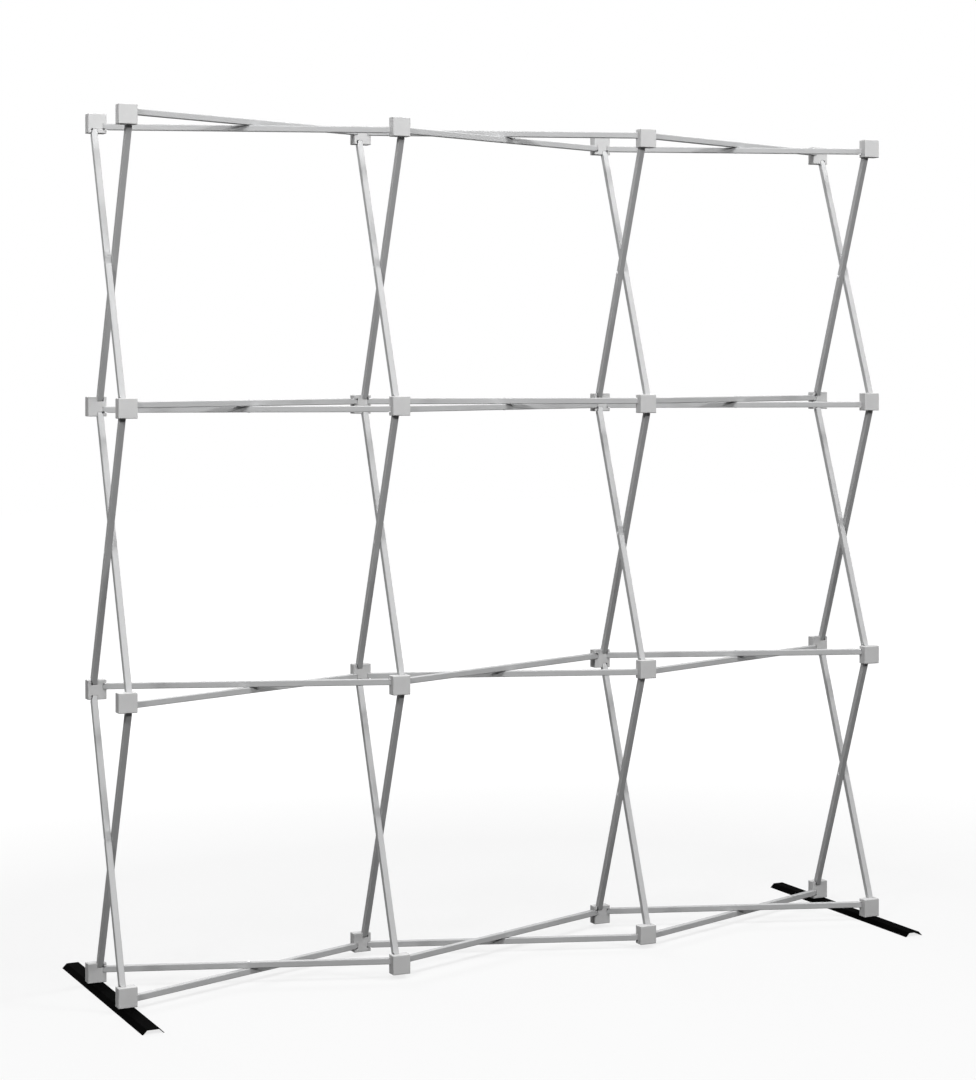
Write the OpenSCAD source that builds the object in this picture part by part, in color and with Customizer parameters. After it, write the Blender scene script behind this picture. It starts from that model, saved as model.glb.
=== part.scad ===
// Pop-up display frame: a straight lattice of scissor pairs, three bays wide and three high.
// Each bar runs from a hub in one layer to the next hub in the other layer. The two bars of a
// pair cross side by side and are riveted in the middle. Rows and columns use the same bar:
// a column is a row turned a quarter turn, and the whole lattice folds with one angle. The feet
// come off before the frame folds. Their pegs are always drawn where the hubs stand.

/* [Lattice] */
// Length of a bar between its two hub pins
bar_span = 746; // [600:1:900]
// Angle between a bar and the face of the frame when the frame stands open
open_angle = 20.8; // [18:0.1:26]
// Degrees that the bars have turned from there towards the folded bundle
fold_angle = 0; // [0:1:45]

/* [Bars] */
// Width and thickness of the square tube
bar_size = 16; // [14:0.5:17]
// Wall thickness of the tube
bar_wall = 1.2; // [0.8:0.1:2]
// Radius of the tube's long outer edges
bar_edge = 2; // [1:0.1:3]
// Space between the two bars of a pair
bar_gap = 0.4; // [0.2:0.1:0.8]
// How far the plug in each end of a bar reaches past the pin
plug_reach = 26; // [22:1:60]
// Clearance between a plug and the inside of the tube
plug_fit = 0.1; // [0.05:0.05:0.2]

/* [Pins] */
// Diameter of a hub pin
pin_d = 4; // [3:0.1:4.4]
// Length of a hub pin in the hub's solid middle
pin_hold = 9; // [5:0.5:14]
// Diameter of the shank of a centre rivet
rivet_d = 5; // [4:0.1:7]
// Diameter of the heads of a centre rivet
rivet_head_d = 9; // [7.5:0.1:11]
// Height of the heads of a centre rivet
rivet_head_h = 1; // [0.8:0.1:2]
// Radial clearance of a pin, rivet or peg in its hole
pin_fit = 0.05; // [0.02:0.01:0.1]

/* [Hubs] */
// Width of a hub
hub_w = 49; // [48:0.5:60]
// Height of a hub
hub_h = 51; // [48:0.5:60]
// Depth of a hub
hub_d = 30.5; // [27:0.5:40]
// Radius of the hub's edges
hub_edge = 2; // [1:0.1:3]
// Distance from the middle of a hub to each of its pins
pin_out = 20; // [19.4:0.1:21]
// Distance from the middle of a hub to its pins, towards the other layer
pin_in = 9; // [6:0.1:10]
// Clearance between the end of a bar and its pocket in the hub
pocket_fit = 0.4; // [0.3:0.1:0.8]

/* [Feet] */
// Length of a foot, front to back
foot_len = 745; // [450:5:900]
// Width of a foot on the floor
foot_w = 56; // [44:1:80]
// Width of the flat top of a foot
foot_top_w = 32; // [20:1:38]
// Height of a foot
foot_h = 12; // [10:0.5:20]
// Thickness of the sheet of a foot
foot_sheet = 2; // [1:0.1:3]
// Radius inside the two long bends of a foot
foot_bend = 1; // [0.5:0.1:3]
// Diameter of the pegs that hold a foot under its hubs
peg_d = 8; // [6:0.5:10]
// Depth of a peg in its hub
peg_in = 12; // [8:0.5:14]
// Height of the tip of a peg above the floor
peg_air = 3; // [2:0.5:5]
// Bevel on the tip of a peg
peg_bevel = 1; // [0.5:0.1:1.5]

/* [Hidden] */
$fn = 48;
eps = 0.01;                        // extra depth of a cut past a face
bays = 3;
last = bays;                       // number of the last hub of a row or column
fold_limit = 45;                   // largest fold_angle that the bar ends are shaped for
bar_angle = open_angle + fold_angle;
steepest = open_angle + fold_limit;
pitch = 2 * pin_out + bar_span * cos(bar_angle);
depth = 2 * pin_in + bar_span * sin(bar_angle);
mid_z = foot_h + hub_h / 2 + bays * pitch / 2;
foot_x = bays * pitch / 2;

end_r = bar_size / 2;              // a bar's end is round about its pin
bar_side = bar_gap / 2;            // from the middle of a hub to the inner side of a bar
tube_in = bar_size - 2 * bar_wall;
least_edge = 0.3;                  // smallest radius of the tube's inner edges
tube_in_edge = max(bar_edge - bar_wall, least_edge);
plug_size = tube_in - 2 * plug_fit;
// The outer side of a bar's end is bevelled, so that a row bar and a column bar that share a
// corner of a hub stay on their own sides of its diagonal at every angle up to the steepest.
bevel_slope = cos(steepest);
bevel_at_pin = pin_out - end_r * sin(steepest) - bar_side - pocket_fit;
bevel_at_tip = bevel_at_pin - end_r * bevel_slope;
bevel_start = (bar_size - bevel_at_pin) / bevel_slope;
pocket_r = end_r + pocket_fit;
pocket_past = hub_w + hub_h;       // how far a pocket's cut runs on, out of any face
// A pin stops short of the pin that crosses its line in a corner of the hub.
pins_apart = 0.5;
pin_far = pin_out - pin_d / 2 - bar_side - pins_apart;
rivet_grip = bar_gap + 2 * bar_size;

foot_slope = atan2(foot_h, (foot_w - foot_top_w) / 2);
outer_bend = foot_bend + foot_sheet;
bend_x = foot_top_w / 2 - outer_bend * tan(foot_slope / 2);
bend_z = foot_h - outer_bend;

alloy = [0.78, 0.79, 0.8];
resin = [0.7, 0.71, 0.72];
steel = [0.55, 0.56, 0.58];
black = [0.05, 0.05, 0.05];

// The side of a hub on which its bars lie, 1 or -1, alternates from hub to hub along a line. The
// lines of the frame's second half, and the hubs of the back layer, are the other way round.
function alternate(k) = k % 2 == 0 ? 1 : -1;
function half(k) = k < bays / 2 ? 1 : -1;
function row_side(i, j, front) = alternate(i) * half(j) * (front ? 1 : -1);
function column_side(i, j, front) = alternate(j) * half(i) * (front ? 1 : -1);
function place(k) = (k - bays / 2) * pitch;
function outer(k) = k == 0 || k == last;
function has_foot(i, j) = outer(i) && j == last;
// The kind of a hub is how many of its row and column ends it stands at: 2, 1 or 0.
function kind(i, j) = (outer(i) ? 1 : 0) + (outer(j) ? 1 : 0);

LAYERS = ["front", "back"];
KINDS = ["middle", "edge", "corner"];
LINES = ["row", "column"];
HUBS = [for (layer = LAYERS, k = [0:len(KINDS) - 1])
    [str(layer, "_", KINDS[k], "_hubs"), k, layer == "front"]];
BARS = [for (line = LINES, n = [0:last], bay = [0:bays - 1], from = LAYERS)
    [str(line, n + 1, "_bay", bay + 1, "_bar_from_", from), line == "row", n, bay, from == "front"]];

// ---- Placing

// A row of the lattice, or a column, which is a row turned so that its first hub is on top
module along_line(is_row, n) {
    if (is_row)
        translate([0, 0, mid_z - place(n)])
            children();
    else
        translate([place(n), 0, mid_z])
            rotate([0, 90, 0])
                children();
}

// A bar of a row, from the hub before the bay in one layer to the hub after it in the other
module bar_place(bay, front, side) {
    mirror([0, front ? 0 : 1, 0])
        translate([place(bay) + pin_out, pin_in - depth / 2, 0])
            rotate([0, 0, bar_angle])
                mirror([0, 0, side < 0 ? 1 : 0])
                    translate([0, 0, bar_side])
                        children();
}

module each_bar(b) {
    is_row = b[1];
    side = is_row ? row_side(b[3], b[2], b[4]) : column_side(b[2], b[3], b[4]);
    along_line(is_row, b[2])
        bar_place(b[3], b[4], side)
            children();
}

// Both ends of a bar, each with +X pointing along the bar
module both_ends() {
    children();
    translate([bar_span, 0, 0])
        mirror([1, 0, 0])
            children();
}

module hub_place(i, j, front) {
    translate([place(i), front ? -depth / 2 : depth / 2, mid_z - place(j)])
        mirror([0, front ? 0 : 1, 0])
            children();
}

// The pins of a hub's row bars, then of its column bars, with +X pointing out of the hub
module hub_pin_places(i, j, front) {
    for (dir = [-1, 1]) {
        if (i + dir >= 0 && i + dir <= last)
            hub_pin_place(dir, row_side(i, j, front))
                children();
        if (j + dir >= 0 && j + dir <= last)
            rotate([0, 90, 0])
                hub_pin_place(dir, column_side(i, j, front))
                    children();
    }
}

module hub_pin_place(dir, side) {
    mirror([dir < 0 ? 1 : 0, 0, 0])
        mirror([0, 0, side < 0 ? 1 : 0])
            translate([pin_out, pin_in, bar_side])
                children();
}

// ---- Bars: along +X from the first pin, with the inner side on z = 0

module rounded_rect(w, h, r) {
    square([w, h - 2 * r], center = true);
    square([w - 2 * r, h], center = true);
    for (x = [-1, 1], y = [-1, 1])
        translate([x * (w / 2 - r), y * (h / 2 - r)])
            circle(r);
}

module bar_section(size, r, past) {
    translate([-end_r - past, 0, bar_size / 2])
        rotate([90, 0, 90])
            linear_extrude(bar_span + 2 * end_r + 2 * past)
                rounded_rect(size, size, r);
}

// The bar's outline from its edge, with the bevels of its two ends
module bar_side_outline() {
    rotate([90, 0, 0])
        linear_extrude(2 * bar_size, center = true)
            polygon([
                [-end_r, 0],
                [bar_span + end_r, 0],
                [bar_span + end_r, bevel_at_tip],
                [bar_span - bevel_start, bar_size],
                [bevel_start, bar_size],
                [-end_r, bevel_at_tip]]);
}

// The bar's outline along its pins: round at the pins, straight up to x = reach from each
module bar_plan_outline(reach) {
    both_ends()
        linear_extrude(bar_size) {
            circle(end_r);
            translate([0, -end_r])
                square([reach, bar_size]);
        }
}

module pin_bores() {
    both_ends()
        translate([0, 0, -eps])
            cylinder(d = pin_d + 2 * pin_fit, h = bar_size + 2 * eps);
}

module bar() {
    color(alloy)
        difference() {
            intersection() {
                bar_section(bar_size, bar_edge, 0);
                bar_side_outline();
                bar_plan_outline(bar_span / 2 + eps);
            }
            bar_section(tube_in, tube_in_edge, eps);
            pin_bores();
            translate([bar_span / 2, 0, -eps])
                cylinder(d = rivet_d + 2 * pin_fit, h = bar_size + 2 * eps);
        }
}

module end_plugs() {
    color(resin)
        difference() {
            intersection() {
                bar_section(plug_size, tube_in_edge, 0);
                bar_side_outline();
                bar_plan_outline(plug_reach);
            }
            pin_bores();
        }
}

module bar_end_plugs() {
    for (b = BARS)
        each_bar(b)
            end_plugs();
}

// ---- Hubs: the middle of the hub at the origin, with the other layer towards +Y

module hub_block() {
    intersection() {
        rotate([90, 0, 0])
            linear_extrude(hub_d, center = true)
                rounded_rect(hub_w, hub_h, hub_edge);
        linear_extrude(hub_h, center = true)
            rounded_rect(hub_w, hub_d, hub_edge);
        rotate([0, 90, 0])
            linear_extrude(hub_w, center = true)
                rounded_rect(hub_h, hub_d, hub_edge);
    }
}

// What a bar's end sweeps about its pin, from straight out of the hub to the steepest angle
module pocket_outline() {
    circle(pocket_r);
    for (a = [0, steepest])
        rotate(a)
            translate([0, -pocket_r])
                square([pocket_past, 2 * pocket_r]);
    polygon([
        [0, 0],
        [pocket_past, 0],
        [pocket_past, pocket_past],
        pocket_past * [cos(steepest), sin(steepest)]]);
}

// The room for a bar's end, open outwards and towards the other layer, and for its pin
module bar_pocket() {
    translate([0, 0, -pocket_fit])
        linear_extrude(bar_size + 2 * pocket_fit)
            pocket_outline();
    translate([0, 0, -pin_hold - pin_fit])
        cylinder(d = pin_d + 2 * pin_fit, h = pin_hold + pin_far + 2 * pin_fit);
}

module hub(i, j, front) {
    color(resin)
        hub_place(i, j, front)
            difference() {
                hub_block();
                hub_pin_places(i, j, front)
                    bar_pocket();
                if (has_foot(i, j))
                    translate([0, 0, -hub_h / 2 - eps])
                        cylinder(d = peg_d + 2 * pin_fit, h = peg_in + pin_fit + eps);
            }
}

module hubs(h) {
    for (i = [0:last], j = [0:last])
        if (kind(i, j) == h[1])
            hub(i, j, h[2]);
}

// ---- Pins, rivets and pegs

module hub_pins() {
    color(steel)
        for (i = [0:last], j = [0:last], front = [true, false])
            hub_place(i, j, front)
                hub_pin_places(i, j, front)
                    translate([0, 0, -pin_hold])
                        cylinder(d = pin_d, h = pin_hold + pin_far);
}

module centre_rivet() {
    cylinder(d = rivet_d, h = rivet_grip + 2 * eps, center = true);
    for (s = [0, 1])
        mirror([0, 0, s])
            translate([0, 0, rivet_grip / 2])
                cylinder(d = rivet_head_d, h = rivet_head_h);
}

module centre_rivets() {
    color(steel)
        for (line = LINES, n = [0:last], bay = [0:bays - 1])
            along_line(line == "row", n)
                translate([place(bay + 0.5), 0, 0])
                    centre_rivet();
}

module peg() {
    translate([0, 0, peg_air + peg_bevel])
        cylinder(d = peg_d, h = foot_h + peg_in - peg_air - peg_bevel);
    translate([0, 0, peg_air])
        cylinder(d1 = peg_d - 2 * peg_bevel, d2 = peg_d, h = peg_bevel);
}

module foot_pegs() {
    color(steel)
        for (x = [-foot_x, foot_x], y = [-depth / 2, depth / 2])
            translate([x, y, 0])
                peg();
}

// ---- Feet: a folded sheet with a flat top and two sloping sides, open underneath

// The room under the foot's outer face, or under a face that far in from it
module under_foot(inset, past) {
    edge = foot_w / 2 - inset / sin(foot_slope) + past / tan(foot_slope);
    bend = outer_bend - inset;
    side = [bend_x, bend_z] + bend * [sin(foot_slope), cos(foot_slope)];
    long = foot_len + 2 * past;
    rotate([90, 0, 0]) {
        linear_extrude(long, center = true)
            polygon([
                [-edge, -past],
                [-side.x, side.y],
                [-bend_x, bend_z],
                [-bend_x, foot_h - inset],
                [bend_x, foot_h - inset],
                [bend_x, bend_z],
                side,
                [edge, -past]]);
        for (x = [-bend_x, bend_x])
            translate([x, bend_z, 0])
                cylinder(r = bend, h = long, center = true);
    }
}

module foot(x) {
    color(black)
        difference() {
            translate([x, 0, 0])
                under_foot(0, 0);
            translate([x, 0, 0])
                under_foot(foot_sheet, eps);
            for (y = [-depth / 2, depth / 2])
                translate([x, y, foot_h - foot_sheet - eps])
                    cylinder(d = peg_d + 2 * pin_fit, h = foot_sheet + 2 * eps);
        }
}

module left_foot() {
    foot(-foot_x);
}

module right_foot() {
    foot(foot_x);
}

// ---- The frame

for (b = BARS)
    each_bar(b) bar();
for (h = HUBS)
    hubs(h);
bar_end_plugs();
hub_pins();
centre_rivets();
foot_pegs();
left_foot();
right_foot();
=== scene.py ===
import math

import bpy
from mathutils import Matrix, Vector


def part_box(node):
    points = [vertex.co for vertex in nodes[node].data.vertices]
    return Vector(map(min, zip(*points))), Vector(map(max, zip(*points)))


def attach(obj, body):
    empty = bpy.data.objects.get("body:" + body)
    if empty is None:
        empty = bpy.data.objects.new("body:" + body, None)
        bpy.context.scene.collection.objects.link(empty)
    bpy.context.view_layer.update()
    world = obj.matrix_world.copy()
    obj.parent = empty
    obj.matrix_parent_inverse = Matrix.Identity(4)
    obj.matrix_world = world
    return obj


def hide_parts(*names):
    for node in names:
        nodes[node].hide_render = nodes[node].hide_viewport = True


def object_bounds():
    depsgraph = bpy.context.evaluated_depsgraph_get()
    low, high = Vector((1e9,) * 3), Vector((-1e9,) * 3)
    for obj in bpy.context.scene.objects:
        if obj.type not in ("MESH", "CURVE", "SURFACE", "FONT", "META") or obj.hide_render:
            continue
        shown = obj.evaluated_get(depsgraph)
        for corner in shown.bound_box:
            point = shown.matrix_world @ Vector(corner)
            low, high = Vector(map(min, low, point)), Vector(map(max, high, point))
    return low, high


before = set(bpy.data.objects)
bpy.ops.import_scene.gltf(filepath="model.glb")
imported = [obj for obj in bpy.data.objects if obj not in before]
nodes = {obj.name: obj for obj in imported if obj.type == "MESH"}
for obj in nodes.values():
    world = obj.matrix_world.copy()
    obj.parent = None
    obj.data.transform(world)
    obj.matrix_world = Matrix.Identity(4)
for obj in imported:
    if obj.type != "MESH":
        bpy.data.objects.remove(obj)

cad_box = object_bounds()
scene = bpy.context.scene

# ---- Places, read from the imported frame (metres)

BAYS = 3
LINES = range(1, BAYS + 2)

hubs_low, hubs_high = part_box("front_corner_hubs")


def bar_names(line, front):
    """The nodes of one of the four sets of parallel bars."""
    layer = "front" if front else "back"
    return [f"{line}{n}_bay{bay}_bar_from_{layer}" for n in LINES for bay in range(1, BAYS + 1)]


# ---- Camera, fitted to the edges of the 32 hubs in the photograph (pixels of the photograph)

IMAGE_W, IMAGE_H = 976, 1080
FOCAL_PX = 2470.39
AXIS_PX = (620.0, 360.87)   # where the level view axis meets the photograph
YAW = 0.4780                # radians from +Y towards +X
SENSOR = 36.0               # millimetres, like the lens
VIEW_END = 100              # metres
# From the corner that is farthest left, front and up on the front hubs
CAMERA_FROM_CORNER = Vector((-1.7257, -6.0522, -0.6437))
hub_corner = Vector((hubs_low.x, hubs_low.y, hubs_high.z))

camera_data = bpy.data.cameras.new("camera")
camera = bpy.data.objects.new("camera", camera_data)
scene.collection.objects.link(camera)
scene.camera = camera
camera.location = hub_corner + CAMERA_FROM_CORNER
camera.rotation_euler = (math.pi / 2, 0, -YAW)
camera_data.sensor_width = SENSOR
camera_data.lens = FOCAL_PX * SENSOR / IMAGE_H
camera_data.shift_x = (IMAGE_W / 2 - AXIS_PX[0]) / IMAGE_H
camera_data.shift_y = (AXIS_PX[1] - IMAGE_H / 2) / IMAGE_H
camera_data.clip_end = VIEW_END

# ---- Node helpers


def new_material(name, color, metallic, roughness, specular=0.5):
    """A material, its node tree and its shader. Nodes replace some of these plain values later."""
    mat = bpy.data.materials.new(name)
    mat.use_nodes = True
    tree = mat.node_tree
    shader = tree.nodes["Principled BSDF"]
    shader.inputs["Base Color"].default_value = (*color, 1)
    shader.inputs["Metallic"].default_value = metallic
    shader.inputs["Roughness"].default_value = roughness
    shader.inputs["Specular IOR Level"].default_value = specular
    return mat, tree, shader


def add(tree, kind, inputs, **settings):
    """A node; each input is a plain value or the output of another node."""
    node = tree.nodes.new(kind)
    for key, value in settings.items():
        setattr(node, key, value)
    for key, value in inputs.items():
        if isinstance(value, bpy.types.NodeSocket):
            tree.links.new(value, node.inputs[key])
        else:
            node.inputs[key].default_value = value
    return node


def place_on(tree, rotation=(0, 0, 0), scale=(1, 1, 1)):
    """Coordinates in metres, turned and then scaled."""
    coords = add(tree, "ShaderNodeTexCoord", {}).outputs["Object"]
    turned = add(tree, "ShaderNodeMapping", {"Vector": coords, "Rotation": rotation})
    scaled = add(tree, "ShaderNodeMapping", {"Vector": turned.outputs["Vector"], "Scale": scale})
    return scaled.outputs["Vector"]


def noise(tree, vector, scale, detail, roughness):
    """Noise about 0.5, with scale waves to the metre."""
    inputs = {"Vector": vector, "Scale": scale, "Detail": detail, "Roughness": roughness}
    return add(tree, "ShaderNodeTexNoise", inputs).outputs["Fac"]


def mix(tree, first, second, share):
    """The two values mixed; share is the second one's part."""
    inputs = {"Factor": share, "A": first, "B": second}
    return add(tree, "ShaderNodeMix", inputs, data_type="FLOAT").outputs["Result"]


def ramp(tree, factor, dark, light, ends=(0.3, 0.7)):
    """A colour that goes from dark to light as the factor goes from one end to the other."""
    node = add(tree, "ShaderNodeValToRGB", {"Fac": factor})
    for element, end, color in zip(node.color_ramp.elements, ends, (dark, light)):
        element.position = end
        element.color = (*color, 1)
    return node.outputs["Color"]


def remap(tree, value, to_low, to_high, from_low=0.0, from_high=1.0):
    """The value, moved from one range to another and held inside it."""
    inputs = {
        "Value": value,
        "From Min": from_low,
        "From Max": from_high,
        "To Min": to_low,
        "To Max": to_high,
    }
    return add(tree, "ShaderNodeMapRange", inputs).outputs["Result"]


def spread(tree, value, low, high):
    """The middle half of a noise, spread from low to high."""
    return remap(tree, value, low, high, 0.25, 0.75)


def bump(tree, shader, height, strength, distance):
    """Relief in the shader's normal; distance in metres."""
    inputs = {"Height": height, "Strength": strength, "Distance": distance}
    node = add(tree, "ShaderNodeBump", inputs)
    tree.links.new(node.outputs["Normal"], shader.inputs["Normal"])


def seen_directly(tree):
    """1 for rays from the camera, through glass or off a mirror; 0 for the rest."""
    path = add(tree, "ShaderNodeLightPath", {}).outputs
    seen = path["Is Camera Ray"]
    for kind in ("Is Glossy Ray", "Is Transmission Ray"):
        seen = add(tree, "ShaderNodeMath", {0: seen, 1: path[kind]}, operation="MAXIMUM").outputs[0]
    return seen


def tint(color, factor):
    """The colour, lighter or darker by a factor."""
    return tuple(c * factor for c in color)


# ---- Materials

ALLOY = (0.52, 0.523, 0.526)
HUB_GREY = (0.62, 0.62, 0.62)
PLUG_GREY = (0.42, 0.42, 0.425)
STEEL, STEEL_DARK, STEEL_LIGHT = (0.42, 0.42, 0.43), (0.36, 0.36, 0.37), (0.48, 0.48, 0.49)
COAT, COAT_DARK, COAT_LIGHT = (0.001,) * 3, (0.0006,) * 3, (0.0016,) * 3


def alloy(name, rotation):
    """Satin aluminium with the fine lines of the drawn tube along the bar."""
    mat, tree, shader = new_material(name, ALLOY, metallic=0.04, roughness=0.42, specular=0.02)
    stretched = place_on(tree, rotation, scale=(1.5, 1, 1))
    drawn = place_on(tree, rotation, scale=(4, 1400, 1400))
    lines = noise(tree, drawn, scale=1.0, detail=3.0, roughness=0.6)
    cloud = noise(tree, stretched, scale=7.0, detail=3.0, roughness=0.6)
    mixed = mix(tree, lines, cloud, 0.45)
    color = ramp(tree, mixed, tint(ALLOY, 0.93), tint(ALLOY, 1.06))
    tree.links.new(color, shader.inputs["Base Color"])
    tree.links.new(spread(tree, mixed, 0.38, 0.5), shader.inputs["Roughness"])
    bump(tree, shader, lines, strength=0.12, distance=0.0002)
    return mat


def resin(name, color):
    """Grey moulded plastic with a fine spark-eroded grain."""
    mat, tree, shader = new_material(name, color, metallic=0.0, roughness=0.5, specular=0.05)
    where = place_on(tree)
    fine = noise(tree, where, scale=900.0, detail=2.0, roughness=0.6)
    cloud = noise(tree, where, scale=26.0, detail=3.0, roughness=0.55)
    shade = ramp(tree, mix(tree, fine, cloud, 0.5), tint(color, 0.955), tint(color, 1.045))
    tree.links.new(shade, shader.inputs["Base Color"])
    tree.links.new(spread(tree, fine, 0.46, 0.6), shader.inputs["Roughness"])
    bump(tree, shader, fine, strength=0.35, distance=0.0004)
    return mat


def steel():
    """Bright plated steel, for pins, pegs and rivets."""
    mat, tree, shader = new_material("plated_steel", STEEL, metallic=1.0, roughness=0.3)
    fine = noise(tree, place_on(tree), scale=700.0, detail=2.0, roughness=0.6)
    tree.links.new(ramp(tree, fine, STEEL_DARK, STEEL_LIGHT), shader.inputs["Base Color"])
    tree.links.new(spread(tree, fine, 0.26, 0.4), shader.inputs["Roughness"])
    return mat


def powder_coat():
    """Dead matt black powder coat with its fine orange peel."""
    name = "black_powder_coat"
    mat, tree, shader = new_material(name, COAT, metallic=0.0, roughness=0.95, specular=0.008)
    where = place_on(tree)
    peel = noise(tree, where, scale=450.0, detail=2.0, roughness=0.5)
    dust = noise(tree, where, scale=60.0, detail=4.0, roughness=0.6)
    shade = ramp(tree, dust, COAT_DARK, COAT_LIGHT, ends=(0.35, 0.75))
    tree.links.new(shade, shader.inputs["Base Color"])
    bump(tree, shader, peel, strength=0.2, distance=0.0003)
    return mat


# The angle of the bars to the frame's face, from the box of one bar
bar_low, bar_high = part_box("row1_bay1_bar_from_front")
bar_size = bar_high.z - bar_low.z
bar_angle = math.atan2(bar_high.y - bar_low.y - bar_size, bar_high.x - bar_low.x - bar_size)

bar_materials = {
    ("row", True): alloy("alloy_row_from_front", (0, 0, -bar_angle)),
    ("row", False): alloy("alloy_row_from_back", (0, 0, bar_angle)),
    ("column", True): alloy("alloy_column_from_front", (-bar_angle, -math.pi / 2, 0)),
    ("column", False): alloy("alloy_column_from_back", (bar_angle, -math.pi / 2, 0)),
}


def dress(node, mat):
    """Gives a CAD node its material."""
    mesh = nodes[node].data
    if not mesh.materials:
        mesh.materials.append(mat)
    for n in range(len(mesh.materials)):
        mesh.materials[n] = mat


for (line, front), mat in bar_materials.items():
    for name in bar_names(line, front):
        dress(name, mat)
hub_resin = resin("hub_resin", HUB_GREY)
for layer in ("front", "back"):
    for kind in ("middle", "edge", "corner"):
        dress(f"{layer}_{kind}_hubs", hub_resin)
dress("bar_end_plugs", resin("plug_resin", PLUG_GREY))
plated = steel()
for name in ("hub_pins", "foot_pegs"):
    dress(name, plated)
coat = powder_coat()
for name in ("left_foot", "right_foot"):
    dress(name, coat)

# ---- Rivets: a low domed head on one side, a rolled-over end with its dimple on the other

RIVET_SIDES = 32
SHANK_SHARE = 5 / 9         # shank over head diameter
SHARP = 0.7                 # radians between faces that meet in an edge
# Points of a head as shares of its radius and height: the rim from the seat up, then the dimple
RIM = ((1, 0), (1, 0.2), (0.975, 0.32))
DIMPLE = ((0.3, 0.86), (0.24, 0.5), (0, 0.42))
DOME_STEPS = 7
DOME_RISE, DOME_POWER = 0.68, 2.4
DIMPLE_EDGE = 0.36          # where the dome ends and the dimple starts, over the rim's radius


def head_profile(radius, height, dimpled):
    """(radius, height above the bar) from the edge of the head's seat in to its middle."""
    points = [(r * radius, z * height) for r, z in RIM]
    rim_radius = points[-1][0]
    dome_end = DIMPLE_EDGE if dimpled else 0.0
    for step in range(1, DOME_STEPS + 1):
        share = 1 - step / DOME_STEPS * (1 - dome_end)
        points.append((rim_radius * share, height * (1 - DOME_RISE * share ** DOME_POWER)))
    if dimpled:
        points += [(r * radius, z * height) for r, z in DIMPLE]
    top = max(z for r, z in points)
    return [(r, z * height / top) for r, z in points]


def rivet_profile(radius, height, grip):
    """The whole rivet, from the middle of its domed head to the middle of its rolled end."""
    shank = radius * SHANK_SHARE
    domed = [(r, grip / 2 + z) for r, z in reversed(head_profile(radius, height, False))]
    rolled = [(r, -grip / 2 - z) for r, z in head_profile(radius, height, True)]
    return domed + [(shank, grip / 2), (shank, -grip / 2)] + rolled


def lathe(profile, centre, across):
    """Vertices and faces of a profile turned about a line through centre, along Z or across."""
    verts, faces, rings = [], [], []
    for radius, z in profile:
        count = RIVET_SIDES if radius else 1
        rings.append(range(len(verts), len(verts) + count))
        for k in range(count):
            a = 2 * math.pi * k / RIVET_SIDES
            x, y = radius * math.cos(a), radius * math.sin(a)
            verts.append(centre + (Vector((z, x, y)) if across else Vector((x, y, z))))
    for upper, lower in zip(rings, rings[1:]):
        for k in range(RIVET_SIDES):
            corners = ((upper, k), (lower, k), (lower, k + 1), (upper, k + 1))
            # A ring of one vertex repeats it, and the face keeps it once
            faces.append(list(dict.fromkeys(ring[n % len(ring)] for ring, n in corners)))
    return verts, faces


rivets_low, rivets_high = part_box("centre_rivets")
head_radius = (rivets_high.y - rivets_low.y) / 2
row_bars = bar_names("row", True) + bar_names("row", False)
head_height = rivets_high.z - max(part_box(name)[1].z for name in row_bars)
verts, faces = [], []
for line in ("row", "column"):
    across = line == "column"
    for front_bar, back_bar in zip(bar_names(line, True), bar_names(line, False)):
        corners = [*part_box(front_bar), *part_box(back_bar)]
        low = Vector([min(c[k] for c in corners) for k in range(3)])
        high = Vector([max(c[k] for c in corners) for k in range(3)])
        grip = high.x - low.x if across else high.z - low.z
        profile = rivet_profile(head_radius, head_height, grip)
        more_verts, more_faces = lathe(profile, (low + high) / 2, across)
        faces += [[v + len(verts) for v in face] for face in more_faces]
        verts += more_verts
rivet_mesh = bpy.data.meshes.new("rivets")
rivet_mesh.from_pydata(verts, [], faces)
rivet_mesh.shade_smooth()
rivet_mesh.set_sharp_from_angle(angle=SHARP)
rivet_mesh.materials.append(plated)
rivets = bpy.data.objects.new("domed_rivets", rivet_mesh)
scene.collection.objects.link(rivets)
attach(rivets, "frame")
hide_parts("centre_rivets")

# ---- World and floor: white as seen directly, and nearly without light for the object

WHITE = (1, 1, 1, 1)
WORLD_SEEN, WORLD_FILL = 1.0, 0.0
FLOOR_SIZE = 40.0
FLOOR_ROUGHNESS = 0.95
FLOOR_SEEN, FLOOR_BOUNCE = 0.15, 0.03   # its grey as seen directly, and for light that bounces
FLOOR_LIFT, FLOOR_WHITE = 0.78, 1.0     # its glow near the object and far from it
FLOOR_NEAR, FLOOR_FAR = 1.6, 5.0        # the glow rises between these distances from the middle

world = bpy.data.worlds.new("studio")
scene.world = world
world.use_nodes = True
tree = world.node_tree
background = tree.nodes["Background"]
background.inputs["Color"].default_value = WHITE
strength = remap(tree, seen_directly(tree), WORLD_FILL, WORLD_SEEN)
tree.links.new(strength, background.inputs["Strength"])

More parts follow.
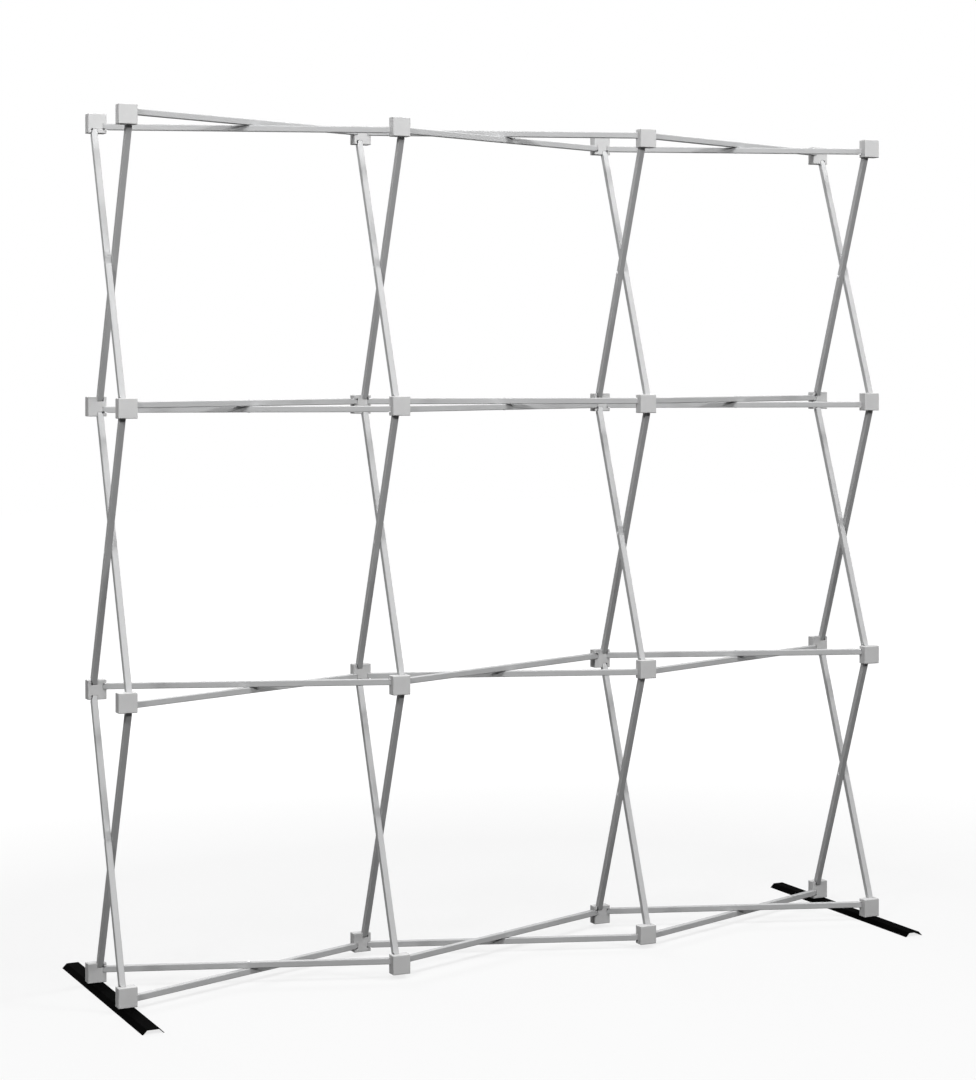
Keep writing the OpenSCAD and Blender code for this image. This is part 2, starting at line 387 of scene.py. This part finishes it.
floor_mat = bpy.data.materials.new("floor_white")
floor_mat.use_nodes = True
tree = floor_mat.node_tree
shader = tree.nodes["Principled BSDF"]
shader.inputs["Roughness"].default_value = FLOOR_ROUGHNESS
shader.inputs["Specular IOR Level"].default_value = 0.0
shader.inputs["Emission Color"].default_value = WHITE
grey = remap(tree, seen_directly(tree), FLOOR_BOUNCE, FLOOR_SEEN)
tree.links.new(grey, shader.inputs["Base Color"])
distance = add(tree, "ShaderNodeVectorMath", {0: place_on(tree)}, operation="LENGTH")
lift = remap(tree, distance.outputs["Value"], FLOOR_LIFT, FLOOR_WHITE, FLOOR_NEAR, FLOOR_FAR)
glow = add(tree, "ShaderNodeMath", {0: seen_directly(tree), 1: lift}, operation="MULTIPLY")
tree.links.new(glow.outputs[0], shader.inputs["Emission Strength"])

floor_mesh = bpy.data.meshes.new("floor")
half = FLOOR_SIZE / 2
floor_corners = [(-half, -half, 0), (half, -half, 0), (half, half, 0), (-half, half, 0)]
floor_mesh.from_pydata(floor_corners, [], [(0, 1, 2, 3)])
floor = bpy.data.objects.new("floor", floor_mesh)
scene.collection.objects.link(floor)
floor_mesh.materials.append(floor_mat)

# ---- Lamps, all aimed at the middle of the frame; their powers are fitted to the photograph

# name, place and size in metres, power in watts
LAMPS = [
    ("strip_above", (0, -2.0, 6.2), (5.0, 0.5), 142),
    ("low_front", (0, -10.0, 6.0), (4.0, 0.8), 415),
    ("left", (-4.5, -1.8, 5.5), (1.5, 1.5), 60),
    ("left_front", (-4.5, -3.6, 4.5), (1.0, 1.0), 130),
    ("right", (3.4, -1.8, 6.6), (1.2, 1.2), 205),
    ("back", (0, 6.5, 3.4), (4.0, 1.2), 220),
]


def lamp(name, place, aim, size, power):
    """A rectangular area lamp at a place, aimed at a point and not seen itself."""
    data = bpy.data.lights.new(name, "AREA")
    data.shape = "RECTANGLE"
    data.size, data.size_y = size
    data.energy = power
    obj = bpy.data.objects.new(name, data)
    scene.collection.objects.link(obj)
    obj.location = place
    obj.rotation_euler = (aim - Vector(place)).to_track_quat("-Z", "Y").to_euler()
    obj.visible_camera = False


middle = (cad_box[0] + cad_box[1]) / 2
for name, place, size, power in LAMPS:
    lamp(name, place, middle, size, power)

# ---- Finish

scene.view_settings.view_transform = "Standard"
